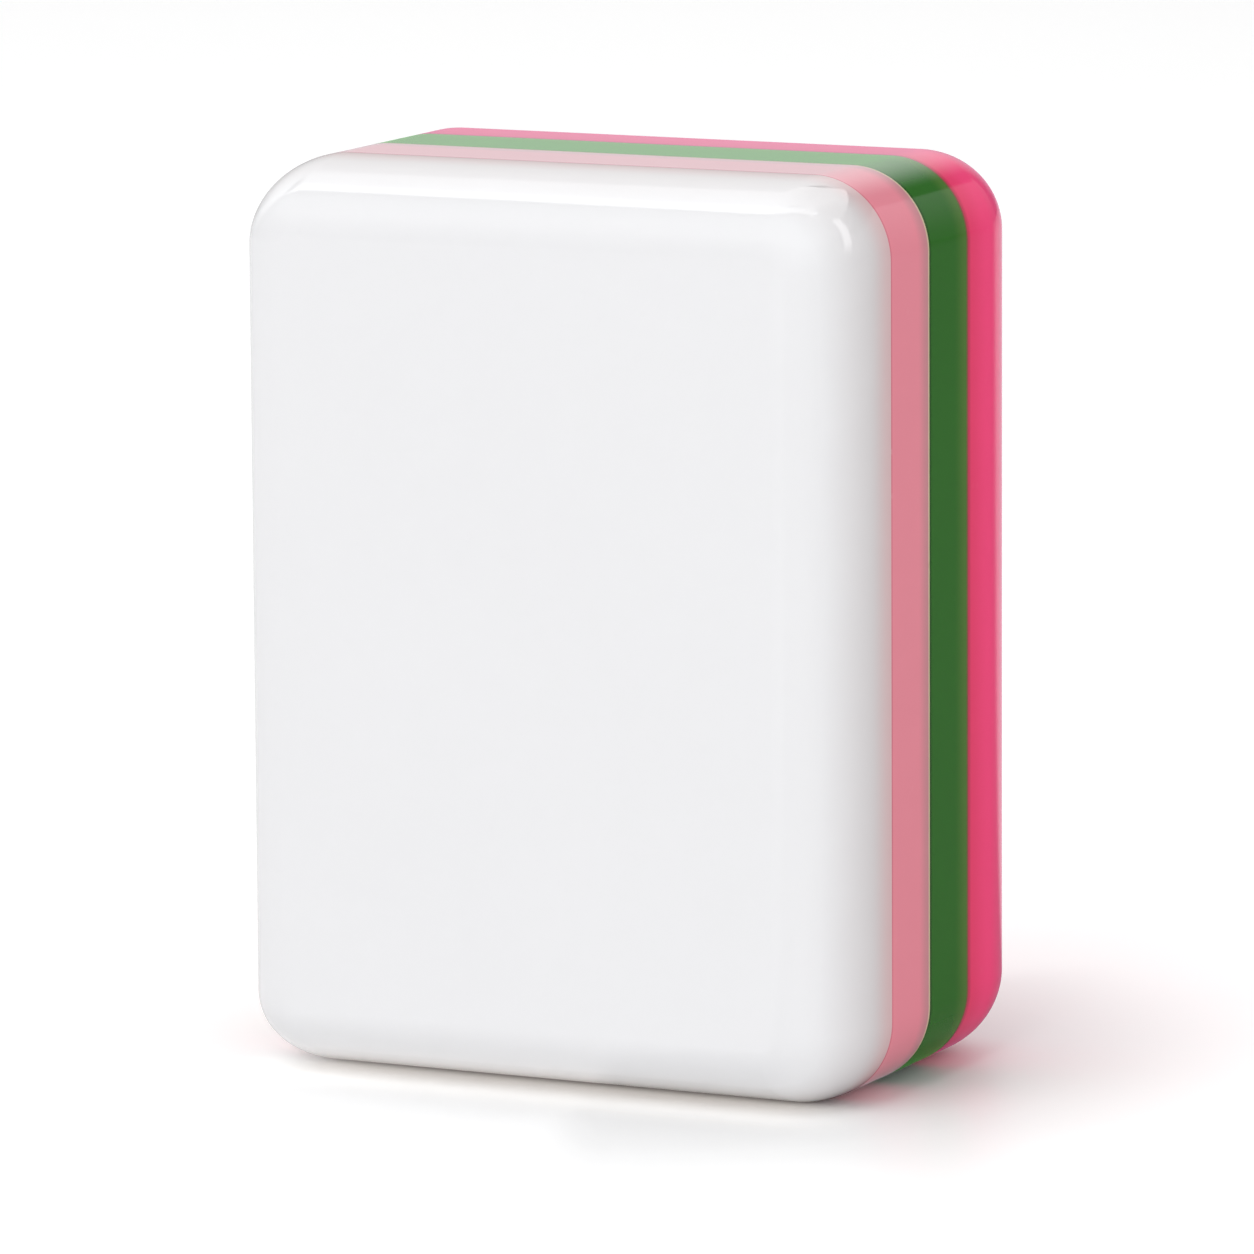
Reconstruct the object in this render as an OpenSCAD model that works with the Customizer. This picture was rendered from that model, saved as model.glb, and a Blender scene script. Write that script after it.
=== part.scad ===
// Laminated mahjong tile, standing on its short end.
// The playing face looks towards -Y, the back towards +Y, and the origin is the middle of the base.

/* [Tile] */
// Height of the tile, along Z
tile_h = 30; // [24:0.5:42]
// Width of the tile, along X
tile_w = 22.1; // [17:0.1:32]
// Radius of the four corners, seen from the front
corner_r = 2.7; // [1.5:0.1:5]

/* [Layers] */
// Thickness of the white slab that carries the playing face
face_t = 4.35; // [2.5:0.05:8]
// Thickness of the pale pink slab
pale_pink_t = 2.8; // [1:0.1:6]
// Thickness of the green slab
green_t = 2.95; // [1:0.05:6]
// Thickness of the hot pink slab at the back
hot_pink_t = 5.1; // [2.5:0.1:8]
// Thickness of each glue line between two slabs
bond_t = 0.1; // [0.05:0.01:0.3]

/* [Rims] */
// Angle through which the soft arc of a rim turns before the tight arc takes over
rim_turn = 30; // [15:1:45]
// Radius of the soft arc that leaves the side wall, on the front rim
face_soft_r = 6.8; // [3:0.1:9]
// Radius of the tight arc that meets the playing face, on the front rim
face_tight_r = 1.65; // [0.5:0.05:2.5]
// Radius of the soft arc that leaves the side wall, on the back rim
back_soft_r = 4.7; // [3:0.1:9]
// Radius of the tight arc that meets the back face, on the back rim
back_tight_r = 1.9; // [0.5:0.05:2.5]
// Least corner radius left on the flat of the face and of the back
flat_corner_r = 0.3; // [0.1:0.1:1]

/* [Hidden] */
$fn = 96;
// Overall depth, and where each piece starts on the way from the face to the back
tile_d = face_t + pale_pink_t + green_t + hot_pink_t + 3 * bond_t;
face_y = -tile_d / 2;
face_bond_y = face_y + face_t;
pale_pink_y = face_bond_y + bond_t;
cream_bond_y = pale_pink_y + pale_pink_t;
green_y = cream_bond_y + bond_t;
back_bond_y = green_y + green_t;
back_y = tile_d / 2;

// How far a rim draws the outline in by the time it reaches the flat
function rim_inset(soft, tight) = soft * (1 - cos(rim_turn)) + tight * cos(rim_turn);

// How deep a rim reaches behind the flat
function rim_depth(soft, tight) = soft * sin(rim_turn) + tight * (1 - sin(rim_turn));

// Share of its full size at which a rim stays inside its slab and inside the corner radius
function rim_share(soft, tight, slab_t) =
    min(1, slab_t / rim_depth(soft, tight), (corner_r - flat_corner_r) / rim_inset(soft, tight));

// Outline of the tile seen from the front
module outline() {
    square([tile_w - 2 * corner_r, tile_h], center = true);
    square([tile_w, tile_h - 2 * corner_r], center = true);
    for (x = [-1, 1], y = [-1, 1])
        translate([x * (tile_w / 2 - corner_r), y * (tile_h / 2 - corner_r)])
            circle(r = corner_r);
}

// Slab with straight walls
module plain_slab(thickness) {
    linear_extrude(height = thickness)
        outline();
}

// Section through a rimmed wall, from the corner's axis outwards, with the flat at the bottom
module rim_section(soft, tight, slab_t) {
    inset = rim_inset(soft, tight);
    depth = rim_depth(soft, tight);
    handover = tight * (1 - sin(rim_turn));
    square([corner_r - inset, slab_t]);
    intersection() {
        square([corner_r, handover]);
        translate([corner_r - inset, tight])
            circle(r = tight);
    }
    intersection() {
        translate([0, handover])
            square([corner_r, depth - handover]);
        translate([corner_r - soft, depth])
            circle(r = soft);
    }
    if (slab_t > depth)
        translate([0, depth])
            square([corner_r, slab_t - depth]);
}

// Straight stretch of a rimmed slab, with a rim along both long edges
module rimmed_bar(span, length, soft, tight, slab_t) {
    core = span - 2 * corner_r;
    rotate([90, 0, 0])
        linear_extrude(height = length, center = true) {
            translate([-core / 2, 0])
                square([core, slab_t]);
            for (side = [0, 1])
                mirror([side, 0])
                    translate([core / 2, 0])
                        rim_section(soft, tight, slab_t);
        }
}

// Slab with a rim all round its lower face
module rimmed_slab(full_soft, full_tight, slab_t) {
    share = rim_share(full_soft, full_tight, slab_t);
    soft = full_soft * share;
    tight = full_tight * share;
    rimmed_bar(tile_w, tile_h - 2 * corner_r, soft, tight, slab_t);
    rotate(90)
        rimmed_bar(tile_h, tile_w - 2 * corner_r, soft, tight, slab_t);
    for (x = [0, 1], y = [0, 1])
        mirror([x, 0, 0])
            mirror([0, y, 0])
                translate([tile_w / 2 - corner_r, tile_h / 2 - corner_r, 0])
                    rotate_extrude(angle = 90)
                        rim_section(soft, tight, slab_t);
}

// Stands a slab up with its lower face at the given depth, growing towards the back
module stand_from(y) {
    translate([0, y, tile_h / 2])
        rotate([-90, 0, 0])
            children();
}

// Stands a slab up with its lower face at the given depth, growing towards the face
module stand_to(y) {
    translate([0, y, tile_h / 2])
        rotate([90, 0, 0])
            children();
}

module white_face() {
    color("#f0f0f2")
        stand_from(face_y)
            rimmed_slab(face_soft_r, face_tight_r, face_t);
}

module face_bond() {
    color("#d9a3ac")
        stand_from(face_bond_y)
            plain_slab(bond_t);
}

module pale_pink_layer() {
    color("#db8794")
        stand_from(pale_pink_y)
            plain_slab(pale_pink_t);
}

module cream_bond() {
    color("#e6d3bd")
        stand_from(cream_bond_y)
            plain_slab(bond_t);
}

module green_layer() {
    color("#3b6734")
        stand_from(green_y)
            plain_slab(green_t);
}

module back_bond() {
    color("#4b4a2c")
        stand_from(back_bond_y)
            plain_slab(bond_t);
}

module hot_pink_back() {
    color("#e84f7b")
        stand_to(back_y)
            rimmed_slab(back_soft_r, back_tight_r, hot_pink_t);
}

white_face();
face_bond();
pale_pink_layer();
cream_bond();
green_layer();
back_bond();
hot_pink_back();
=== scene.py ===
"""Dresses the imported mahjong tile: four acrylic slabs and three glue lines in a white studio."""
import logging
import math
from dataclasses import dataclass
from enum import Enum

import bpy
from mathutils import Matrix, Vector


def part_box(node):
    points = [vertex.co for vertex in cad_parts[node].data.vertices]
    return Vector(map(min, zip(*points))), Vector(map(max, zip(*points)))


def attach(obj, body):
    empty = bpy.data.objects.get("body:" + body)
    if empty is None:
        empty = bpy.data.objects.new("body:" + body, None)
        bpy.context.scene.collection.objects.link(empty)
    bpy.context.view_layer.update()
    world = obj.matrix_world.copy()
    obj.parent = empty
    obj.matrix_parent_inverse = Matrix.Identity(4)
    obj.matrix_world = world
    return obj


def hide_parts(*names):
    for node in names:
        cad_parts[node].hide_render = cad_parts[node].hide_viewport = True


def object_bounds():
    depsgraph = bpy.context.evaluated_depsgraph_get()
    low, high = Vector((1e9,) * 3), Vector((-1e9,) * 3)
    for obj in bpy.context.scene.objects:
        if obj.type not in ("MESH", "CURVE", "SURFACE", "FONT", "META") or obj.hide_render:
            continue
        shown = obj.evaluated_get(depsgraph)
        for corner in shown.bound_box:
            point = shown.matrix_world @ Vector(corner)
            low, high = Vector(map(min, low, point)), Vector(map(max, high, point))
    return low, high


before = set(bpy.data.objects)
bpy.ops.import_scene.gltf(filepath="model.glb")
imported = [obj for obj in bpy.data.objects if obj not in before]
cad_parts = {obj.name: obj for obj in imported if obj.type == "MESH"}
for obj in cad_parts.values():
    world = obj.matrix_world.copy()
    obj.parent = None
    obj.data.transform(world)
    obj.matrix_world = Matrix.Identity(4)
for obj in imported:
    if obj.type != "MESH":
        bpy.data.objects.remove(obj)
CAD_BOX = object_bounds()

log = logging.getLogger("mahjong_tile")

MM = 0.001
QUARTER = math.pi / 2
EDGE_ATTRIBUTE = "edge_turn"
FLOAT = "NodeSocketFloat"
COLOUR = "NodeSocketColor"

Colour = tuple[float, float, float]
Point = tuple[float, float, float]
Bearing = tuple[float, float]

BLACK: Colour = (0.0, 0.0, 0.0)
MIDDLE_GREY: Colour = (0.5, 0.5, 0.5)
PALE_GREY: Colour = (0.8, 0.8, 0.8)
WHITE: Colour = (1.0, 1.0, 1.0)


class Facing(Enum):
    """Way in which a flat looks, as a sign along Y."""

    PLAYER = -1
    BACK = 1

    def other(self) -> "Facing":
        """Gives the opposite way."""
        return Facing(-self.value)


class Sees(Enum):
    """Kinds of ray that a studio object answers to."""

    REFLECTIONS = "reflections"
    DIFFUSE_LIGHT = "diffuse light"


def put_in_scene(name: str, data: bpy.types.ID) -> bpy.types.Object:
    """Makes an object and links it to the scene.

    Args:
        name: Name of the object.
        data: Mesh, lamp or lens that it shows.

    Returns:
        The new object.
    """
    thing = bpy.data.objects.new(name, data)
    bpy.context.scene.collection.objects.link(thing)
    return thing


@dataclass(frozen=True)
class Station:
    """One ring of a rim: how far it is drawn in, how deep behind the flat, and how its normal leans."""

    inset: float
    depth: float
    lean: float


@dataclass(frozen=True)
class Rim:
    """Rounding of a slab's free edge: a soft arc off the wall, then a tight arc on to the flat."""

    soft: float
    tight: float
    turn: float = math.radians(30)
    soft_steps: int = 14
    tight_steps: int = 24

    def inset(self) -> float:
        """Gives how far the rim draws the outline in at the flat."""
        return self.soft * (1 - math.cos(self.turn)) + self.tight * math.cos(self.turn)

    def depth(self) -> float:
        """Gives how deep the rim reaches behind the flat."""
        return self.soft * math.sin(self.turn) + self.tight * (1 - math.sin(self.turn))

    def stations(self) -> list[Station]:
        """Lists the rings of the rim.

        Returns:
            Stations in order from the flat to the wall.
        """
        found = []
        for step in range(self.tight_steps):
            lean = QUARTER + (self.turn - QUARTER) * step / self.tight_steps
            inset = self.inset() - self.tight * math.cos(lean)
            found.append(Station(inset, self.tight * (1 - math.sin(lean)), lean))
        for step in range(self.soft_steps + 1):
            lean = self.turn * (1 - step / self.soft_steps)
            inset = self.soft * (1 - math.cos(lean))
            found.append(Station(inset, self.depth() - self.soft * math.sin(lean), lean))
        return found


@dataclass(frozen=True)
class Outline:
    """Rounded rectangle that every piece shares, seen from the front."""

    width: float
    height: float
    corner: float
    corner_steps: int = 28
    across_steps: int = 14
    up_steps: int = 20

    def sides(self) -> list[int]:
        """Lists the steps of the straight stretch that follows each corner."""
        return [self.across_steps, self.up_steps, self.across_steps, self.up_steps]

    def ring(self, inset: float) -> list[tuple[float, float, float, float]]:
        """Lists the points of the outline drawn in by an inset.

        Args:
            inset: Distance by which the outline shrinks, in metres.

        Returns:
            Place across, height above the base, and the outward direction of each point, going round
            from the right wall.
        """
        core_x = self.width / 2 - self.corner
        core_z = self.height / 2 - self.corner
        radius = self.corner - inset
        middle = self.height / 2
        corners = [(core_x, core_z), (-core_x, core_z), (-core_x, -core_z), (core_x, -core_z)]
        points = []
        for index, (x, z) in enumerate(corners):
            for step in range(self.corner_steps + 1):
                angle = QUARTER * (index + step / self.corner_steps)
                out_x, out_z = math.cos(angle), math.sin(angle)
                points.append((x + radius * out_x, middle + z + radius * out_z, out_x, out_z))
            angle = QUARTER * (index + 1)
            out_x, out_z = math.cos(angle), math.sin(angle)
            next_x, next_z = corners[(index + 1) % len(corners)]
            steps = self.sides()[index]
            for step in range(1, steps):
                share = step / steps
                along_x = x + (next_x - x) * share + radius * out_x
                along_z = middle + z + (next_z - z) * share + radius * out_z
                points.append((along_x, along_z, out_x, out_z))
        return points


class SlabMesh:
    """Collects the rings and flats of one closed slab, with exact normals at every face corner."""

    def __init__(self, outline: Outline) -> None:
        """Starts an empty slab.

        Args:
            outline: Rounded rectangle that the slab follows.
        """
        self.outline = outline
        self.points: list[Point] = []
        self.turns: list[float] = []
        self.faces: list[list[int]] = []
        self.normals: list[Vector] = []
        self.ring_normals: dict[int, Vector] = {}

    def add_point(self, place: Point, turn: float = 0.0) -> int:
        """Adds one point.

        Args:
            place: Where it is, in metres.
            turn: How strongly the surface bends there, from 0 to 1.

        Returns:
            The point's number.
        """
        self.points.append(place)
        self.turns.append(turn)
        return len(self.points) - 1

    def add_face(self, corners: list[int], flat: Vector | None = None) -> None:
        """Adds one face.

        Args:
            corners: Numbers of its points, counter-clockwise seen from outside.
            flat: Normal of a flat face; a face of a wall takes the normals of its rings.
        """
        self.faces.append(corners)
        for corner in corners:
            self.normals.append(flat if flat is not None else self.ring_normals[corner])

    def add_ring(
        self,
        y: float,
        inset: float = 0.0,
        lean: float = 0.0,
        facing: Facing = Facing.PLAYER,
    ) -> list[int]:
        """Adds one ring of points.

        Args:
            y: Depth of the ring.
            inset: Distance by which it is drawn in.
            lean: Angle by which its normals lean out of the wall, towards the flat.
            facing: Way in which that flat looks.

        Returns:
            Numbers of the ring's points.
        """
        wall = math.cos(lean)
        forward = facing.value * math.sin(lean)
        ring = []
        for x, z, out_x, out_z in self.outline.ring(inset):
            number = self.add_point((x, y, z), math.sin(2 * lean))
            self.ring_normals[number] = Vector((out_x * wall, forward, out_z * wall))
            ring.append(number)
        return ring

    def bridge(self, front: list[int], behind: list[int]) -> None:
        """Joins two rings by a band of faces.

        Args:
            front: Ring nearer to the player.
            behind: Ring nearer to the back.
        """
        count = len(front)
        for index in range(count):
            following = (index + 1) % count
            self.add_face([front[index], behind[index], behind[following], front[following]])

    def core_grid(self, y: float) -> list[list[int]]:
        """Adds the grid of points in the middle of a flat.

        Args:
            y: Depth of the flat.

        Returns:
            Numbers of the points, in columns from left to right, each from the bottom up.
        """
        shape = self.outline
        core_x = shape.width / 2 - shape.corner
        core_z = shape.height / 2 - shape.corner
        columns = []
        for column in range(shape.across_steps + 1):
            x = core_x * (2 * column / shape.across_steps - 1)
            line = []
            for row in range(shape.up_steps + 1):
                z = shape.height / 2 + core_z * (2 * row / shape.up_steps - 1)
                line.append(self.add_point((x, y, z)))
            columns.append(line)
        return columns

    def close(self, ring: list[int], facing: Facing) -> None:
        """Closes a ring with a flat: a grid inside, strips along the sides and fans in the corners.

        Args:
            ring: Ring to close.
            facing: Way in which the flat looks.
        """
        shape = self.outline
        flat = Vector((0, facing.value, 0))
        grid = self.core_grid(self.points[ring[0]][1])
        patches = []
        for line, after in zip(grid, grid[1:]):
            for row in range(shape.up_steps):
                patches.append([line[row], after[row], after[row + 1], line[row + 1]])
        top = [line[-1] for line in reversed(grid)]
        left = list(reversed(grid[0]))
        bottom = [line[0] for line in grid]
        right = list(grid[-1])
        start = 0
        for inner, steps in zip((top, left, bottom, right), shape.sides()):
            for step in range(shape.corner_steps):
                patches.append([inner[0], ring[start + step], ring[start + step + 1]])
            start += shape.corner_steps
            for step in range(steps):
                outer = [ring[start + step], ring[(start + step + 1) % len(ring)]]
                patches.append([inner[step], outer[0], outer[1], inner[step + 1]])
            start += steps
        for patch in patches:
            self.add_face(patch if facing is Facing.PLAYER else patch[::-1], flat)

    def build(self, name: str) -> bpy.types.Object:
        """Makes the object.

        Args:
            name: Name of the piece.

        Returns:
            The piece, linked to the scene.
        """
        mesh = bpy.data.meshes.new(name)
        mesh.from_pydata(self.points, [], self.faces)
        bend = mesh.attributes.new(EDGE_ATTRIBUTE, "FLOAT", "POINT")
        bend.data.foreach_set("value", self.turns)
        mesh.polygons.foreach_set("use_smooth", [True] * len(mesh.polygons))
        mesh.normals_split_custom_set([tuple(normal) for normal in self.normals])
        mesh.validate(clean_customdata=False)
        mesh.update()
        return put_in_scene(name, mesh)


class NodeSheet:
    """Adds and links the nodes of one node tree."""

    COLUMNS = 8
    COLUMN_WIDTH = 220
    ROW_HEIGHT = 240
    MIX_SHARE = 0
    MIX_FIRST_COLOUR = 6
    MIX_SECOND_COLOUR = 7
    MIX_COLOUR_RESULT = 2

    def __init__(self, tree: bpy.types.NodeTree) -> None:
        """Takes the tree to work on."""
        self.tree = tree
        self.count = 0

    def add(self, kind: str, values: dict | None = None, **settings: object) -> bpy.types.Node:
        """Adds a node.

        Args:
            kind: Blender's name of the node type.
            values: Values or source sockets for its inputs, by name or number.
            **settings: Properties to set on the node.

        Returns:
            The new node.
        """
        node = self.tree.nodes.new(kind)
        row, column = divmod(self.count, self.COLUMNS)
        node.location = (self.COLUMN_WIDTH * column, -self.ROW_HEIGHT * row)
        self.count += 1
        for key, value in settings.items():
            setattr(node, key, value)
        for key, value in (values or {}).items():
            self.feed(node.inputs[key], value)
        return node

    def feed(self, socket: bpy.types.NodeSocket, value: object) -> None:
        """Links a socket to another one, or sets its value.

        Args:
            socket: Input to feed.
            value: Output socket, number or colour.
        """
        if isinstance(value, bpy.types.NodeSocket):
            self.tree.links.new(value, socket)
        elif isinstance(value, tuple) and socket.type == "RGBA":
            socket.default_value = (*value, 1.0)
        else:
            socket.default_value = value

    def place(self) -> bpy.types.NodeSocket:
        """Adds the coordinates of the surface in the tile's frame."""
        return self.add("ShaderNodeTexCoord").outputs["Object"]

    def split(self, place: bpy.types.NodeSocket) -> bpy.types.bpy_prop_collection:
        """Adds a node that gives X, Y and Z apart."""
        return self.add("ShaderNodeSeparateXYZ", {0: place}).outputs

    def math(self, operation: str, *values: object) -> bpy.types.NodeSocket:
        """Adds a Math node.

        Args:
            operation: Blender's name of the operation.
            *values: Numbers or sockets to work on.

        Returns:
            The result's socket.
        """
        return self.add("ShaderNodeMath", dict(enumerate(values)), operation=operation).outputs[0]

    def blend(
        self,
        share: object,
        first: object,
        second: object,
        how: str = "MIX",
    ) -> bpy.types.NodeSocket:
        """Adds a colour mix.

        Args:
            share: Share of the second colour.
            first: First colour or socket.
            second: Second colour or socket.
            how: Blender's name of the blend type.

        Returns:
            The mixed colour's socket.
        """
        values = {self.MIX_SHARE: share, self.MIX_FIRST_COLOUR: first, self.MIX_SECOND_COLOUR: second}
        node = self.add("ShaderNodeMix", values, data_type="RGBA", blend_type=how)
        return node.outputs[self.MIX_COLOUR_RESULT]

    def ramp(
        self,
        value: object,
        start: float,
        end: float,
        low: float = 0.0,
        high: float = 1.0,
    ) -> bpy.types.NodeSocket:
        """Adds a smooth step.

        Args:
            value: Number or socket to map.
            start: Where the step begins.
            end: Where the step ends.
            low: Result at its beginning.
            high: Result at its end.

        Returns:
            The result's socket.
        """
        values = dict(enumerate((value, start, end, low, high)))
        return self.add("ShaderNodeMapRange", values, interpolation_type="SMOOTHSTEP").outputs[0]

    def noise(
        self,
        place: bpy.types.NodeSocket,
        scale: float,
        detail: float,
        roughness: float = 0.5,
        distortion: float = 0.0,
    ) -> bpy.types.NodeSocket:
        """Adds a noise texture.

        Args:
            place: Coordinates that it is drawn in.
            scale: How fine it is.
            detail: How many finer layers it has.
            roughness: How strong those layers are.
            distortion: How far it is warped.

        Returns:
            The socket of a value that swings about a half.
        """
        values = {
            "Vector": place,
            "Scale": scale,
            "Detail": detail,
            "Roughness": roughness,
            "Distortion": distortion,
        }
        return self.add("ShaderNodeTexNoise", values).outputs["Fac"]

    def swing(self, noise: bpy.types.NodeSocket, amount: object) -> bpy.types.NodeSocket:
        """Turns a noise into a swing about zero.

        Args:
            noise: Value that swings about a half.
            amount: How far the result swings to either side.

        Returns:
            The result's socket.
        """
        centred = self.math("SUBTRACT", noise, 0.5)
        return self.math("MULTIPLY", self.math("MULTIPLY", centred, amount), 2.0)

    def group(self, tree: bpy.types.NodeTree, values: dict) -> bpy.types.bpy_prop_collection:
        """Places a node group.

        Args:
            tree: The group.
            values: Values or source sockets for its inputs, by name.

        Returns:
            The group's outputs.
        """
        return self.add("ShaderNodeGroup", values, node_tree=tree).outputs


def new_material(name: str) -> tuple[bpy.types.Material, NodeSheet]:
    """Makes an empty material.

    Args:
        name: Name of the material.

    Returns:
        The material, and the sheet that its nodes go on.
    """
    made = bpy.data.materials.new(name)
    made.use_nodes = True
    made.node_tree.nodes.clear()
    return made, NodeSheet(made.node_tree)


class EffectGroup:
    """A shader node group that several finishes share."""

    def __init__(
        self,
        name: str,
        inputs: dict[str, tuple[str, object]],
        outputs: dict[str, str],
    ) -> None:
        """Makes the empty group.

        Args:
            name: Name of the group.
            inputs: Socket type and default of each input, by name.
            outputs: Socket type of each output, by name.
        """
        self.tree = bpy.data.node_groups.new(name, "ShaderNodeTree")
        for label, (kind, value) in inputs.items():
            socket = self.tree.interface.new_socket(label, in_out="INPUT", socket_type=kind)
            socket.default_value = (*value, 1.0) if isinstance(value, tuple) else value
        for label, kind in outputs.items():
            self.tree.interface.new_socket(label, in_out="OUTPUT", socket_type=kind)
        self.sheet = NodeSheet(self.tree)
        self.source = self.sheet.add("NodeGroupInput").outputs
        self.result = self.sheet.add("NodeGroupOutput").inputs


@dataclass(frozen=True)
class SeamShadeAndBleed:
    """Painted seam shade: close to a seam the colour goes over into a darker tint, and into a
    neighbouring layer's colour seen through the translucent plastic.
    """

    drift_scale: float = 260.0
    drift_detail: float = 2.0
    drift_swing: float = 0.16
    least_reach: float = 0.92

    def build(self) -> bpy.types.NodeTree:
        """Builds the group.

        Returns:
            A group whose colour goes over into a tint, a painted seam shade, as the depth gets close to
            the seam.
        """
        group = EffectGroup(
            "seam_bleed",
            {
                "Color": (COLOUR, MIDDLE_GREY),
                "Tint": (COLOUR, MIDDLE_GREY),
                "Seam": (FLOAT, 0.0),
                "Reach": (FLOAT, MM),
                "Softness": (FLOAT, 1.0),
            },
            {"Color": COLOUR},
        )
        sheet, source = group.sheet, group.source
        place = sheet.place()
        drift = sheet.noise(place, self.drift_scale, self.drift_detail)
        wander = sheet.math("MULTIPLY_ADD", drift, self.drift_swing, self.least_reach)
        away = sheet.math("ABSOLUTE", sheet.math("SUBTRACT", sheet.split(place)["Y"], source["Seam"]))
        share = sheet.math("DIVIDE", away, sheet.math("MULTIPLY", source["Reach"], wander))
        near = sheet.math("SUBTRACT", 1.0, sheet.math("MINIMUM", share, 1.0))
        # Mask of the painted seam shade, one at the seam.
        mask = sheet.math("POWER", sheet.ramp(near, 0.0, 1.0), source["Softness"])
        sheet.feed(group.result["Color"], sheet.blend(mask, source["Color"], source["Tint"]))
        return group.tree


@dataclass(frozen=True)
class CastHaze:
    """Faint clouds and specks of cast plastic."""

    cloud_scale: float = 130.0
    cloud_detail: float = 4.0
    cloud_roughness: float = 0.55
    cloud_distortion: float = 0.6
    speck_scale: float = 900.0
    speck_core: float = 0.05
    speck_edge: float = 0.13
    rare_from: float = 0.90
    rare_full: float = 0.93

    def build(self) -> bpy.types.NodeTree:
        """Builds the group.

        Returns:
            A group whose colour comes back with slow clouds and a few pale or dark specks.
        """
        group = EffectGroup(
            "cast_haze",
            {
                "Color": (COLOUR, MIDDLE_GREY),
                "Clouds": (FLOAT, 0.03),
                "Specks": (FLOAT, 0.05),
                "Speck Color": (COLOUR, PALE_GREY),
            },
            {"Color": COLOUR},
        )
        sheet, source = group.sheet, group.source
        place = sheet.place()
        slow = sheet.noise(
            place,
            self.cloud_scale,
            self.cloud_detail,
            self.cloud_roughness,
            self.cloud_distortion,
        )
        level = sheet.math("ADD", sheet.swing(slow, source["Clouds"]), 1.0)
        grey = sheet.add("ShaderNodeCombineColor", {0: level, 1: level, 2: level}).outputs[0]
        cloudy = sheet.blend(1.0, source["Color"], grey, "MULTIPLY")
        cell = sheet.add("ShaderNodeTexVoronoi", {"Vector": place, "Scale": self.speck_scale}).outputs
        spot = sheet.ramp(cell["Distance"], self.speck_core, self.speck_edge, 1.0, 0.0)
        pick = sheet.add("ShaderNodeSeparateColor", {0: cell["Color"]}).outputs[0]
        rare = sheet.ramp(pick, self.rare_from, self.rare_full)
        specks = sheet.math("MULTIPLY", sheet.math("MULTIPLY", spot, rare), source["Specks"])
        sheet.feed(group.result["Color"], sheet.blend(specks, cloudy, source["Speck Color"]))
        return group.tree


@dataclass(frozen=True)
class Hairs:
    """One set of hair scratches: the way it is turned, and how finely it is drawn along each axis."""

    turn: Point
    fineness: Point


@dataclass(frozen=True)
class PolishMarks:
    """Marks of polishing and handling."""

    patch_scale: float = 420.0
    patch_detail: float = 3.0
    hairs: tuple[Hairs, ...] = (
        Hairs((0.3, 0.2, 0.5), (90.0, 700.0, 2600.0)),
        Hairs((0.9, 1.1, -0.4), (2300.0, 600.0, 80.0)),
    )
    hair_scale: float = 1.0
    hair_detail: float = 1.0
    hair_from: float = 0.70
    hair_full: float = 0.78
    hair_depth: float = 0.3
    peel_scale: float = 700.0
    peel_detail: float = 2.0
    peel_height: float = 0.5
    least_roughness: float = 0.02

    def scratches(self, sheet: NodeSheet, place: bpy.types.NodeSocket) -> bpy.types.NodeSocket:
        """Draws the hair scratches.

        Args:
            sheet: Sheet of the group.
            place: Coordinates of the surface.

        Returns:
            The socket of a mask that is one on a scratch.
        """
        lines = []
        for hairs in self.hairs:
            laid = {"Vector": place, "Rotation": hairs.turn, "Scale": hairs.fineness}
            along = sheet.add("ShaderNodeMapping", laid).outputs[0]
            hair = sheet.noise(along, self.hair_scale, self.hair_detail)
            lines.append(sheet.ramp(hair, self.hair_from, self.hair_full))
        return sheet.math("MAXIMUM", *lines)

    def build(self) -> bpy.types.NodeTree:
        """Builds the group.

        Returns:
            A group that gives a height for the bump, and a roughness that varies in soft patches and
            along hair scratches and is duller on the rims.
        """
        group = EffectGroup(
            "polish_marks",
            {
                "Roughness": (FLOAT, 0.08),
                "Patches": (FLOAT, 0.02),
                "Scratches": (FLOAT, 0.05),
                "Rim Wear": (FLOAT, 0.02),
            },
            {"Roughness": FLOAT, "Height": FLOAT},
        )
        sheet, source = group.sheet, group.source
        place = sheet.place()
        patch = sheet.noise(place, self.patch_scale, self.patch_detail)
        scratch = self.scratches(sheet, place)
        turned = sheet.add("ShaderNodeAttribute", attribute_name=EDGE_ATTRIBUTE).outputs["Fac"]
        worn = sheet.math("MULTIPLY", turned, sheet.math("MULTIPLY", patch, source["Rim Wear"]))
        rough = sheet.math("ADD", source["Roughness"], sheet.swing(patch, source["Patches"]))
        rough = sheet.math("ADD", rough, sheet.math("MULTIPLY", scratch, source["Scratches"]))
        rough = sheet.math("ADD", rough, worn)
        sheet.feed(group.result["Roughness"], sheet.math("MAXIMUM", rough, self.least_roughness))
        peel = sheet.noise(place, self.peel_scale, self.peel_detail)
        raised = sheet.math("MULTIPLY", peel, self.peel_height)
        height = sheet.math("SUBTRACT", raised, sheet.math("MULTIPLY", scratch, self.hair_depth))
        sheet.feed(group.result["Height"], height)
        return group.tree


class Effects:
    """The node groups of the acrylic and of the glue, each built once."""

    def __init__(self) -> None:
        """Builds every group."""
        self.seam_bleed = SeamShadeAndBleed().build()
        self.cast_haze = CastHaze().build()
        self.polish = PolishMarks().build()


@dataclass(frozen=True)
class PaintedSeamShade:
    """Painted shade of a slab close to one seam: where the seam is, how far the shade reaches, its tint
    and how softly it comes in.
    """

    seam: float
    reach: float
    tint: Colour
    softness: float


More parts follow.
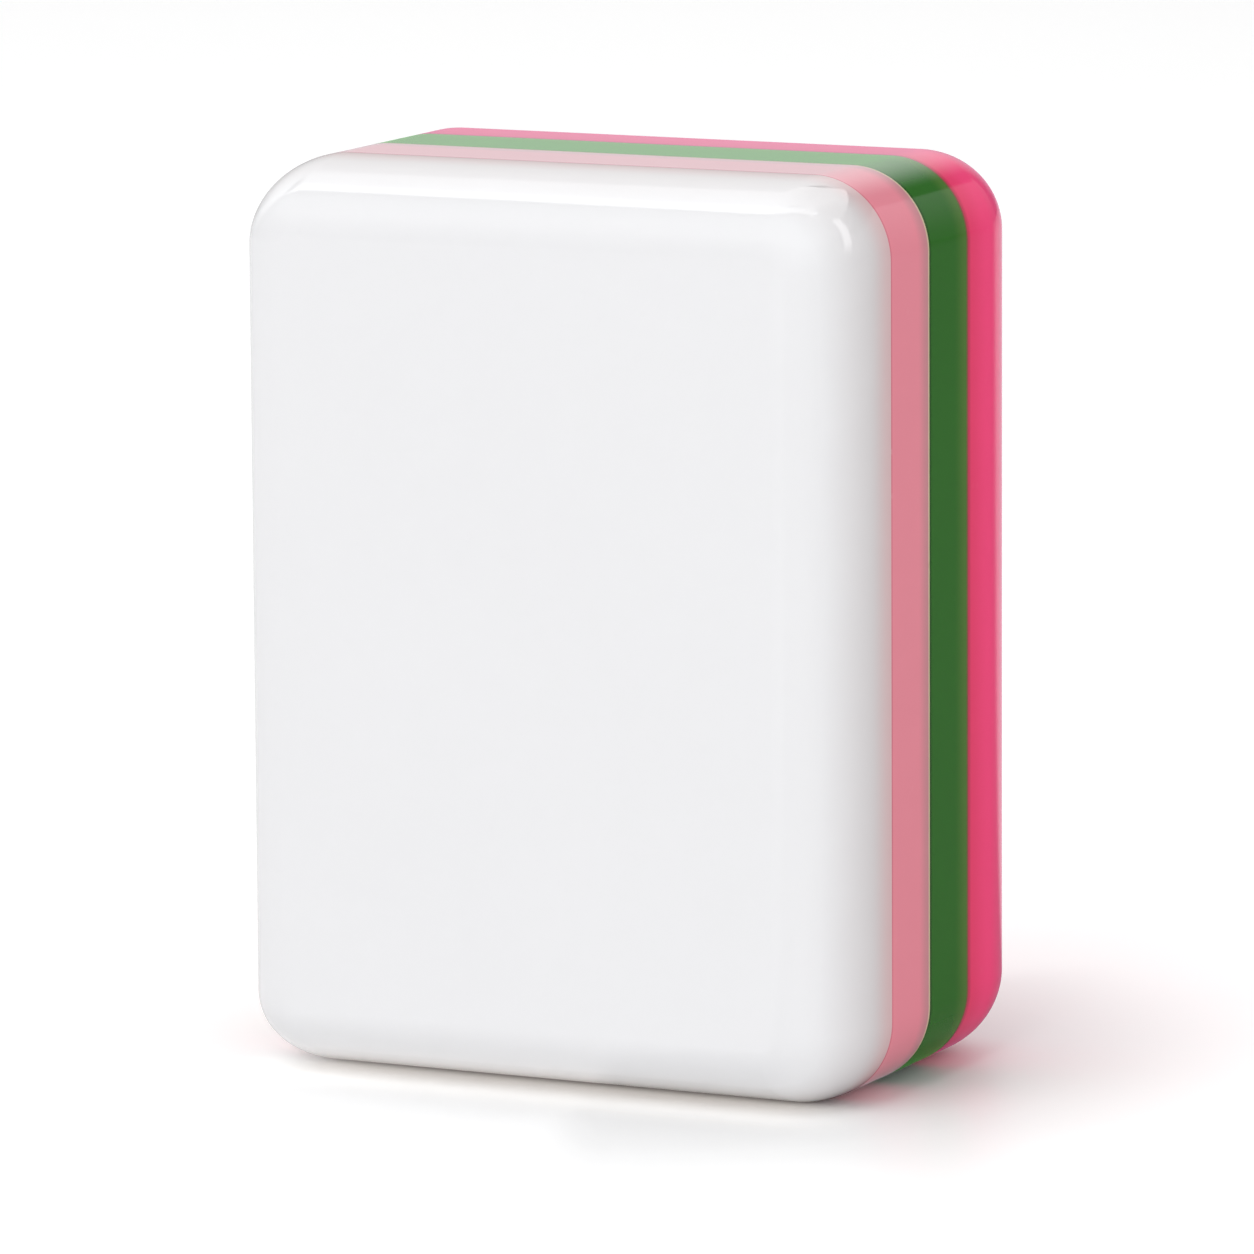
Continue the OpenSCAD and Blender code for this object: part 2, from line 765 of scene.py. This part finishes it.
@dataclass(frozen=True)
class AcrylicFinish:
    """Polished cast acrylic."""

    name: str
    colour: Colour
    seam_shades: tuple[PaintedSeamShade, ...] = ()
    speck_colour: Colour = PALE_GREY
    clouds: float = 0.03
    specks: float = 0.04
    roughness: float = 0.07
    patches: float = 0.012
    scratches: float = 0.05
    rim_wear: float = 0.03
    bump_strength: float = 0.04
    bump_distance: float = 0.004 * MM
    ior: float = 1.49
    bloom: float = 0.0
    bloom_colour: Colour = WHITE
    bloom_spread: float = 0.27

    def material(self, effects: Effects) -> bpy.types.Material:
        """Makes the material.

        Args:
            effects: The shared node groups.

        Returns:
            The finished material.
        """
        made, sheet = new_material(self.name)
        colour: object = self.colour
        # Each seam shade is painted into the base colour, darker and tinted towards the seam.
        for tint in self.seam_shades:
            colour = sheet.group(
                effects.seam_bleed,
                {
                    "Color": colour,
                    "Tint": tint.tint,
                    "Seam": tint.seam,
                    "Reach": tint.reach,
                    "Softness": tint.softness,
                },
            )["Color"]
        colour = sheet.group(
            effects.cast_haze,
            {
                "Color": colour,
                "Clouds": self.clouds,
                "Specks": self.specks,
                "Speck Color": self.speck_colour,
            },
        )["Color"]
        polish = sheet.group(
            effects.polish,
            {
                "Roughness": self.roughness,
                "Patches": self.patches,
                "Scratches": self.scratches,
                "Rim Wear": self.rim_wear,
            },
        )
        bump = sheet.add(
            "ShaderNodeBump",
            {
                "Strength": self.bump_strength,
                "Distance": self.bump_distance,
                "Height": polish["Height"],
            },
        ).outputs[0]
        plastic = sheet.add(
            "ShaderNodeBsdfPrincipled",
            {
                "Base Color": colour,
                "Roughness": polish["Roughness"],
                "IOR": self.ior,
                "Normal": bump,
                "Sheen Weight": self.bloom,
                "Sheen Tint": self.bloom_colour,
                "Sheen Roughness": self.bloom_spread,
            },
        ).outputs[0]
        sheet.add("ShaderNodeOutputMaterial", {"Surface": plastic})
        return made


@dataclass(frozen=True)
class GlueFinish(AcrylicFinish):
    """Cured glue between two slabs, cloudier and duller than the acrylic."""

    clouds: float = 0.15
    specks: float = 0.2
    roughness: float = 0.12


@dataclass(frozen=True)
class Stack:
    """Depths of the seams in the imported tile, read from its nodes."""

    face_back: float
    pale_back: float
    green_front: float
    green_back: float
    back_front: float

    @classmethod
    def from_frame(cls) -> "Stack":
        """Reads the depths from the CAD nodes.

        Returns:
            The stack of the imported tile.
        """
        front, back = {}, {}
        for node in ("white_face", "pale_pink_layer", "green_layer", "hot_pink_back"):
            low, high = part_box(node)
            front[node] = low.y
            back[node] = high.y
        return cls(
            face_back=back["white_face"],
            pale_back=back["pale_pink_layer"],
            green_front=front["green_layer"],
            green_back=back["green_layer"],
            back_front=front["hot_pink_back"],
        )


class Finishes:
    """Colours and painted seam shades of the seven pieces."""

    def __init__(self, stack: Stack) -> None:
        """Works out every finish.

        Args:
            stack: Places of the seams.
        """
        self.white = AcrylicFinish(
            "white_acrylic",
            (0.855, 0.855, 0.870),
            (
                # Painted shade: the first tint greys the white towards its seam, the second paints a
                # pink glow of the pale pink layer through the plastic.
                PaintedSeamShade(stack.face_back, reach=3.5 * MM, tint=(0.63, 0.60, 0.605), softness=0.6),
                PaintedSeamShade(stack.face_back, reach=1.5 * MM, tint=(0.70, 0.50, 0.51), softness=1.2),
            ),
            speck_colour=(0.70, 0.70, 0.71),
            clouds=0.012,
            roughness=0.045,
            rim_wear=0.012,
        )
        self.pale_pink = AcrylicFinish(
            "pale_pink_acrylic",
            (0.81, 0.250, 0.315),
            # Painted shade: the pale pink darkens along its back seam.
            (PaintedSeamShade(stack.pale_back, reach=0.8 * MM, tint=(0.56, 0.235, 0.265), softness=0.9),),
            speck_colour=(0.86, 0.42, 0.47),
            bloom=0.7,
            bloom_colour=(1.0, 0.9, 0.95),
        )
        self.green = AcrylicFinish(
            "green_acrylic",
            (0.022, 0.127, 0.012),
            (
                # Painted light and shade: a paler olive glow of the hot pink through the plastic near
                # the back seam, and a painted dark shade line along the front seam.
                PaintedSeamShade(stack.green_back, reach=1.1 * MM, tint=(0.075, 0.165, 0.028), softness=1.3),
                PaintedSeamShade(stack.green_front, reach=0.25 * MM, tint=(0.012, 0.070, 0.006), softness=0.8),
            ),
            speck_colour=(0.06, 0.20, 0.04),
            bloom=0.45,
            bloom_colour=(0.30, 1.0, 0.25),
            clouds=0.05,
        )
        self.hot_pink = AcrylicFinish(
            "hot_pink_acrylic",
            (0.92, 0.061, 0.199),
            (
                # Painted shade: the hot pink darkens towards its front seam, in two steps.
                PaintedSeamShade(stack.back_front, reach=1.6 * MM, tint=(0.80, 0.045, 0.140), softness=0.9),
                PaintedSeamShade(stack.back_front, reach=0.3 * MM, tint=(0.52, 0.040, 0.080), softness=0.8),
            ),
            speck_colour=(0.95, 0.16, 0.32),
            bloom=0.75,
            bloom_colour=(1.0, 0.25, 0.52),
        )
        self.pink_glue = GlueFinish("pink_glue", (0.70, 0.205, 0.265), speck_colour=(0.85, 0.5, 0.5))
        # Partly a real glue line, partly a painted highlight: its pale cream stands in for the glint
        # along the seam's edge.
        self.cream_glue_and_highlight = GlueFinish("cream_glue_and_highlight", (0.62, 0.49, 0.34), speck_colour=(0.5, 0.35, 0.2))
        self.olive_glue = GlueFinish(
            "olive_glue",
            (0.20, 0.10, 0.05),
            speck_colour=(0.1, 0.05, 0.02),
            clouds=0.20,
        )


@dataclass
class Piece:
    """What every piece of the tile has: its CAD node, its outline and its finish."""

    node: str
    outline: Outline
    finish: AcrylicFinish

    def depths(self) -> tuple[float, float]:
        """Gives the lowest and highest depth of the CAD node."""
        low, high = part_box(self.node)
        return low.y, high.y

    def shape(self) -> SlabMesh:
        """Builds the mesh of a slab with straight walls.

        Returns:
            The closed slab.
        """
        front, back = self.depths()
        slab = SlabMesh(self.outline)
        first = slab.add_ring(front)
        last = slab.add_ring(back)
        slab.bridge(first, last)
        slab.close(first, Facing.PLAYER)
        slab.close(last, Facing.BACK)
        return slab

    def make(self, effects: Effects) -> bpy.types.Object:
        """Builds, dresses and mounts the piece.

        Args:
            effects: The shared node groups.

        Returns:
            The piece, riding on the tile in place of its CAD node.
        """
        piece = self.shape().build(self.node + "_piece")
        piece.data.materials.append(self.finish.material(effects))
        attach(piece, "root")
        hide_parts(self.node)
        return piece


@dataclass
class GlueLine(Piece):
    """Film of cured glue between two slabs."""


@dataclass
class MiddleSlab(Piece):
    """Flat slab between two glue lines."""


@dataclass
class RimmedSlab(Piece):
    """Outer slab, whose free flat has a soft polished rim all round."""

    rim: Rim
    facing: Facing

    def shape(self) -> SlabMesh:
        """Builds the mesh of a slab with one rimmed flat.

        Returns:
            The closed slab.
        """
        front, back = self.depths()
        flat_y, seam_y = (front, back) if self.facing is Facing.PLAYER else (back, front)
        slab = SlabMesh(self.outline)
        rings = []
        for spot in self.rim.stations():
            y = flat_y - self.facing.value * spot.depth
            rings.append(slab.add_ring(y, spot.inset, spot.lean, self.facing))
        rings.append(slab.add_ring(seam_y))
        for outer, inner in zip(rings, rings[1:]):
            if self.facing is Facing.PLAYER:
                slab.bridge(outer, inner)
            else:
                slab.bridge(inner, outer)
        slab.close(rings[0], self.facing)
        slab.close(rings[-1], self.facing.other())
        return slab


class MahjongTile:
    """The laminated tile, from the playing face to the back."""

    CORNER = 2.7 * MM
    FACE_RIM = Rim(soft=6.8 * MM, tight=1.65 * MM)
    BACK_RIM = Rim(soft=4.7 * MM, tight=1.9 * MM)

    def __init__(self) -> None:
        """Reads the frame and lists the pieces."""
        low, high = CAD_BOX
        outline = Outline(high.x - low.x, high.z - low.z, self.CORNER)
        finishes = Finishes(Stack.from_frame())
        self.pieces: list[Piece] = [
            RimmedSlab("white_face", outline, finishes.white, self.FACE_RIM, Facing.PLAYER),
            GlueLine("face_bond", outline, finishes.pink_glue),
            MiddleSlab("pale_pink_layer", outline, finishes.pale_pink),
            GlueLine("cream_bond", outline, finishes.cream_glue_and_highlight),
            MiddleSlab("green_layer", outline, finishes.green),
            GlueLine("back_bond", outline, finishes.olive_glue),
            RimmedSlab("hot_pink_back", outline, finishes.hot_pink, self.BACK_RIM, Facing.BACK),
        ]

    def build(self) -> list[bpy.types.Object]:
        """Makes every piece.

        Returns:
            The pieces, from the playing face to the back.
        """
        effects = Effects()
        return [piece.make(effects) for piece in self.pieces]


def direction(azimuth: float, elevation: float) -> Vector:
    """Gives the direction from the tile to a place in the studio.

    Args:
        azimuth: Degrees from straight behind the tile, growing towards its right.
        elevation: Degrees above the floor.

    Returns:
        A unit vector.
    """
    round_angle, up_angle = math.radians(azimuth), math.radians(elevation)
    flat = math.cos(up_angle)
    return Vector((math.sin(round_angle) * flat, math.cos(round_angle) * flat, math.sin(up_angle)))


def show_only_to(thing: bpy.types.Object, sees: Sees) -> None:
    """Hides a studio object from every ray but one kind.

    Args:
        thing: Lamp or card.
        sees: The kind of ray that still sees it.
    """
    thing.visible_camera = False
    thing.visible_transmission = False
    thing.visible_volume_scatter = False
    thing.visible_glossy = sees is Sees.REFLECTIONS
    thing.visible_diffuse = sees is Sees.DIFFUSE_LIGHT
    if sees is Sees.REFLECTIONS:
        thing.visible_shadow = False


@dataclass(frozen=True)
class Softbox:
    """Square lamp, aimed at the middle of the tile; its side and its distance are in metres."""

    name: str
    azimuth: float
    elevation: float
    distance: float
    side: float
    radiance: float
    watts_per_area: float = 4.0

    def place(self, aim: Vector) -> None:
        """Hangs the lamp.

        Args:
            aim: Middle of the tile.
        """
        lamp = bpy.data.lights.new(self.name, "AREA")
        lamp.shape = "SQUARE"
        lamp.size = self.side
        lamp.energy = self.radiance * self.watts_per_area * self.side**2
        hung = put_in_scene(self.name, lamp)
        towards = direction(self.azimuth, self.elevation)
        hung.location = aim + towards * self.distance
        hung.rotation_euler = (-towards).to_track_quat("-Z", "Y").to_euler()
        show_only_to(hung, Sees.DIFFUSE_LIGHT)


@dataclass(frozen=True)
class Glow:
    """What every glowing card has: its light, and the way it hangs for reflections only.

    A fade is the share of the card's length over which the light comes in at its start or goes out at
    its end.
    """

    name: str
    low_glow: float
    high_glow: float
    start_fade: float = 0.0
    end_fade: float = 0.0

    def hang(self, rows: list[tuple[Vector, Vector]]) -> None:
        """Hangs a band of quads.

        Args:
            rows: Lower and upper point at each step along the card.
        """
        last = len(rows) - 1
        points = [point for row in rows for point in row]
        faces = [(2 * step, 2 * step + 2, 2 * step + 3, 2 * step + 1) for step in range(last)]
        mesh = bpy.data.meshes.new(self.name)
        mesh.from_pydata(points, [], faces)
        layer = mesh.uv_layers.new(name="card")
        for loop, spot in zip(mesh.loops, layer.data):
            step, upper = divmod(loop.vertex_index, 2)
            spot.uv = (step / last, upper)
        card = put_in_scene(self.name, mesh)
        mesh.materials.append(self.light())
        show_only_to(card, Sees.REFLECTIONS)

    def light(self) -> bpy.types.Material:
        """Makes the card's light.

        Returns:
            An emission that grows from the low edge to the high one, and fades at the ends that fade.
        """
        made, sheet = new_material(self.name)
        spot = sheet.split(sheet.add("ShaderNodeTexCoord").outputs["UV"])
        strength = sheet.ramp(spot["Y"], 0.0, 1.0, self.low_glow, self.high_glow)
        mask: object = 1.0
        if self.start_fade > 0:
            mask = sheet.ramp(spot["X"], 0.0, self.start_fade)
        if self.end_fade > 0:
            ending = sheet.ramp(spot["X"], 1.0 - self.end_fade, 1.0, 1.0, 0.0)
            mask = sheet.math("MULTIPLY", mask, ending)
        glow = sheet.add("ShaderNodeEmission", {"Strength": strength}).outputs[0]
        clear = sheet.add("ShaderNodeBsdfTransparent").outputs[0]
        mixed = sheet.add("ShaderNodeMixShader", {0: mask, 1: clear, 2: glow}).outputs[0]
        sheet.add("ShaderNodeOutputMaterial", {"Surface": mixed})
        return made


@dataclass(frozen=True, kw_only=True)
class Card(Glow):
    """Flat card, hung between two directions from the tile; its breadth is in degrees."""

    start: Bearing
    end: Bearing
    breadth: float
    distance: float = 0.8

    def place(self, aim: Vector) -> None:
        """Hangs the card, facing the tile.

        Args:
            aim: Middle of the tile.
        """
        first = direction(*self.start) * self.distance
        last = direction(*self.end) * self.distance
        middle = (first + last) / 2
        rise = (last - first).cross(middle).normalized()
        if rise.z < 0:
            rise = -rise
        rise *= math.tan(math.radians(self.breadth / 2)) * middle.length
        self.hang([(aim + point - rise, aim + point + rise) for point in (first, last)])


@dataclass(frozen=True, kw_only=True)
class Ribbon(Glow):
    """Bent strip of light under the ceiling; its path and breadths are given for a height of one."""

    path: tuple[tuple[float, float], ...]
    breadth: float
    end_breadth: float
    height: float = 0.6

    def place(self, aim: Vector) -> None:
        """Hangs the ribbon.

        Args:
            aim: Middle of the tile.
        """
        rows = []
        for step, (x, y) in enumerate(self.path):
            share = step / (len(self.path) - 1)
            half = (self.breadth + (self.end_breadth - self.breadth) * share) / 2
            near = aim + Vector((x, y - half, 1.0)) * self.height
            far = aim + Vector((x, y + half, 1.0)) * self.height
            rows.append((near, far))
        self.hang(rows)


@dataclass(frozen=True)
class Floor:
    """Pale satin floor: white far from the tile, with a faint glow under the front rim.

    For mirrored rays it carries a painted shade to the right of the tile, which the right wall mirrors;
    the rest of the tile mirrors it pale.
    """

    half_side: float = 3.0
    colour: Colour = (0.90, 0.90, 0.90)
    lift: Colour = (0.24, 0.24, 0.24)
    lift_from: float = 10 * MM
    lift_to: float = 24 * MM
    lift_left: float = 6 * MM
    glow: Colour = (0.24, 0.226, 0.207)
    glow_front: float = -9.5 * MM
    glow_full: float = -5.6 * MM
    glow_until: float = -5.3 * MM
    glow_behind: float = -3.8 * MM
    glow_half: float = 8 * MM
    glow_fade: float = 4 * MM
    mirrored_shade_right: Colour = (0.12, 0.12, 0.12)
    mirrored_left: Colour = (0.90, 0.90, 0.90)
    left_until: float = 0.17
    right_from: float = 0.38
    roughness: float = 0.42

    def place(self) -> None:
        """Lays the floor."""
        reach = self.half_side
        corners = [(-reach, -reach, 0), (reach, -reach, 0), (reach, reach, 0), (-reach, reach, 0)]
        mesh = bpy.data.meshes.new("floor")
        mesh.from_pydata(corners, [], [(0, 1, 2, 3)])
        floor = put_in_scene("floor", mesh)
        mesh.materials.append(self.material())

    def strip(self, sheet: NodeSheet, place: bpy.types.NodeSocket) -> bpy.types.NodeSocket:
        """Draws the strip that glows under the front rim.

        Args:
            sheet: Sheet of the floor's material.
            place: Coordinates of the floor.

        Returns:
            The socket of the strip's mask.
        """
        spot = sheet.split(place)
        coming = sheet.ramp(spot["Y"], self.glow_front, self.glow_full)
        going = sheet.ramp(spot["Y"], self.glow_until, self.glow_behind, 1.0, 0.0)
        across = sheet.math("ABSOLUTE", spot["X"])
        ends = sheet.ramp(across, self.glow_half, self.glow_half + self.glow_fade, 1.0, 0.0)
        return sheet.math("MULTIPLY", sheet.math("MULTIPLY", coming, going), ends)

    def material(self) -> bpy.types.Material:
        """Makes the floor's material.

        Returns:
            A satin white, with its own shade for the camera and for mirrored rays: painted light lifts
            it for the camera away from the tile, and a painted shade darkens it for mirrored rays to
            the tile's right.
        """
        made, sheet = new_material("floor")
        path = sheet.add("ShaderNodeLightPath").outputs
        place = sheet.place()
        # Painted shade seen only in reflections: to the tile's right the floor turns dark for mirrored
        # rays.
        bearing = sheet.add("ShaderNodeVectorMath", {0: place}, operation="NORMALIZE").outputs[0]
        right = sheet.ramp(sheet.split(bearing)["X"], self.left_until, self.right_from)
        mirrored = sheet.blend(right, self.mirrored_left, self.mirrored_shade_right)
        shade = sheet.blend(path["Is Glossy Ray"], self.colour, mirrored)
        # Painted light for the camera: the floor is lifted towards white with distance from the tile,
        # sooner on its left, so the tile's shadow fades early.
        away = sheet.add("ShaderNodeVectorMath", {0: place}, operation="LENGTH").outputs["Value"]
        left = sheet.math("SUBTRACT", 1.0, right)
        away = sheet.math("MULTIPLY_ADD", left, self.lift_left, away)
        far = sheet.ramp(away, self.lift_from, self.lift_to)
        raised = sheet.blend(sheet.math("MULTIPLY", far, path["Is Camera Ray"]), BLACK, self.lift)
        glowing = sheet.blend(self.strip(sheet, place), BLACK, self.glow)
        satin = sheet.add(
            "ShaderNodeBsdfPrincipled",
            {
                "Base Color": shade,
                "Roughness": self.roughness,
                "Emission Color": sheet.blend(1.0, raised, glowing, "ADD"),
                "Emission Strength": 1.0,
            },
        ).outputs[0]
        sheet.add("ShaderNodeOutputMaterial", {"Surface": satin})
        return made


@dataclass(frozen=True)
class Room:
    """Light of the room itself: white to the camera, dim in reflections, even on diffuse surfaces."""

    ambient: float = 0.84
    reflected: float = 0.08

    def place(self) -> None:
        """Sets the world."""
        world = bpy.data.worlds.new("room")
        bpy.context.scene.world = world
        world.use_nodes = True
        world.node_tree.nodes.clear()
        sheet = NodeSheet(world.node_tree)
        path = sheet.add("ShaderNodeLightPath").outputs
        seen = sheet.math("MAXIMUM", path["Is Camera Ray"], path["Is Transmission Ray"])
        dimming = self.reflected - self.ambient
        lit = sheet.math("MULTIPLY_ADD", path["Is Glossy Ray"], dimming, self.ambient)
        strength = sheet.math("MAXIMUM", seen, lit)
        light = sheet.add("ShaderNodeBackground", {"Strength": strength}).outputs[0]
        sheet.add("ShaderNodeOutputWorld", {"Surface": light})


class Studio:
    """White floor, soft lamps and the cards that the polish reflects."""

    def __init__(self) -> None:
        """Lists what stands in the studio."""
        self.room = Room()
        self.floor = Floor()
        self.lamps = [
            Softbox("key_lamp", azimuth=-168, elevation=52, distance=0.9, side=0.6, radiance=1.95),
            Softbox("front_lamp", azimuth=142, elevation=8, distance=0.8, side=0.5, radiance=0.6),
            Softbox("left_lamp", azimuth=-100, elevation=8, distance=0.8, side=0.4, radiance=1.4),
            Softbox("right_lamp", azimuth=100, elevation=6, distance=0.8, side=0.4, radiance=2.45),
        ]
        self.cards = [
            Card(
                "back_wall",
                low_glow=0.5,
                high_glow=1.5,
                start_fade=0.2,
                end_fade=0.33,
                start=(-86, 14),
                end=(4, 14),
                breadth=42,
            ),
            Card(
                "upper_panel",
                low_glow=2.0,
                high_glow=2.0,
                start_fade=0.2,
                end_fade=0.15,
                start=(-50, 40),
                end=(25, 50),
                breadth=24,
                distance=0.9,
            ),
            Card(
                "corner_panel",
                low_glow=1.9,
                high_glow=1.9,
                start_fade=0.08,
                end_fade=0.8,
                start=(-12, 38),
                end=(66, 50),
                breadth=22,
            ),
            Card(
                "right_card",
                low_glow=0.12,
                high_glow=0.36,
                end_fade=0.2,
                start=(8, 10.9),
                end=(62, 10.9),
                breadth=25,
            ),
            Card(
                "side_strip",
                low_glow=3.0,
                high_glow=3.0,
                start_fade=0.1,
                end_fade=0.4,
                start=(44, 47),
                end=(65, 9),
                breadth=6,
            ),
            Card(
                "ceiling",
                low_glow=0.4,
                high_glow=0.4,
                start=(-90, 35),
                end=(90, 35),
                breadth=100,
                distance=1.6,
            ),
            Ribbon(
                "top_strip",
                low_glow=2.5,
                high_glow=2.5,
                start_fade=0.2,
                path=(
                    (-1.6, 0.5),
                    (-0.54, 0.495),
                    (-0.34, 0.42),
                    (-0.10, 0.38),
                    (0.10, 0.41),
                    (0.37, 0.46),
                ),
                breadth=0.14,
                end_breadth=0.11,
            ),
        ]

    def build(self, aim: Vector) -> None:
        """Sets the studio up.

        Args:
            aim: Middle of the tile.
        """
        self.room.place()
        self.floor.place()
        for item in (*self.lamps, *self.cards):
            item.place(aim)


@dataclass(frozen=True)
class PhotoCamera:
    """Camera at the photograph's viewing angle; every angle is in degrees."""

    azimuth: float = 25.861
    elevation: float = 9.0055
    distance: float = 320 * MM
    aim_shift: float = -0.45 * MM
    pan: float = -0.0374
    tilt: float = -0.1005
    roll: float = -0.3465
    lens: float = 280.6575
    sensor: float = 36.0
    nearest: float = 0.01
    farthest: float = 20.0

    def place(self, aim: Vector) -> None:
        """Sets the camera up.

        Args:
            aim: Middle of the tile.
        """
        angle, rise = math.radians(self.azimuth), math.radians(self.elevation)
        flat = math.cos(rise)
        back = Vector((math.sin(angle) * flat, -math.cos(angle) * flat, math.sin(rise)))
        right = Vector((0, 0, 1)).cross(back).normalized()
        up = back.cross(right)
        turn = Matrix((right, up, back)).transposed()
        for degrees, axis in ((self.tilt, "X"), (self.pan, "Y"), (self.roll, "Z")):
            turn = turn @ Matrix.Rotation(math.radians(degrees), 3, axis)
        lens = bpy.data.cameras.new("photo_camera")
        lens.lens = self.lens
        lens.sensor_width = self.sensor
        lens.clip_start = self.nearest
        lens.clip_end = self.farthest
        camera = put_in_scene("photo_camera", lens)
        eye = aim + Vector((0, self.aim_shift, 0)) + back * self.distance
        camera.matrix_world = Matrix.Translation(eye) @ turn.to_4x4()
        bpy.context.scene.camera = camera


def main() -> None:
    """Builds the tile, the studio and the camera."""
    logging.basicConfig(level=logging.INFO, format="%(name)s: %(message)s")
    bpy.context.scene.view_settings.view_transform = "Standard"
    low, high = CAD_BOX
    aim = (low + high) / 2
    for piece in MahjongTile().build():
        finish = piece.data.materials[0].name
        log.info("%s: %d faces, %s", piece.name, len(piece.data.polygons), finish)
    Studio().build(aim)
    PhotoCamera().place(aim)


if __name__ == "__main__":
    main()
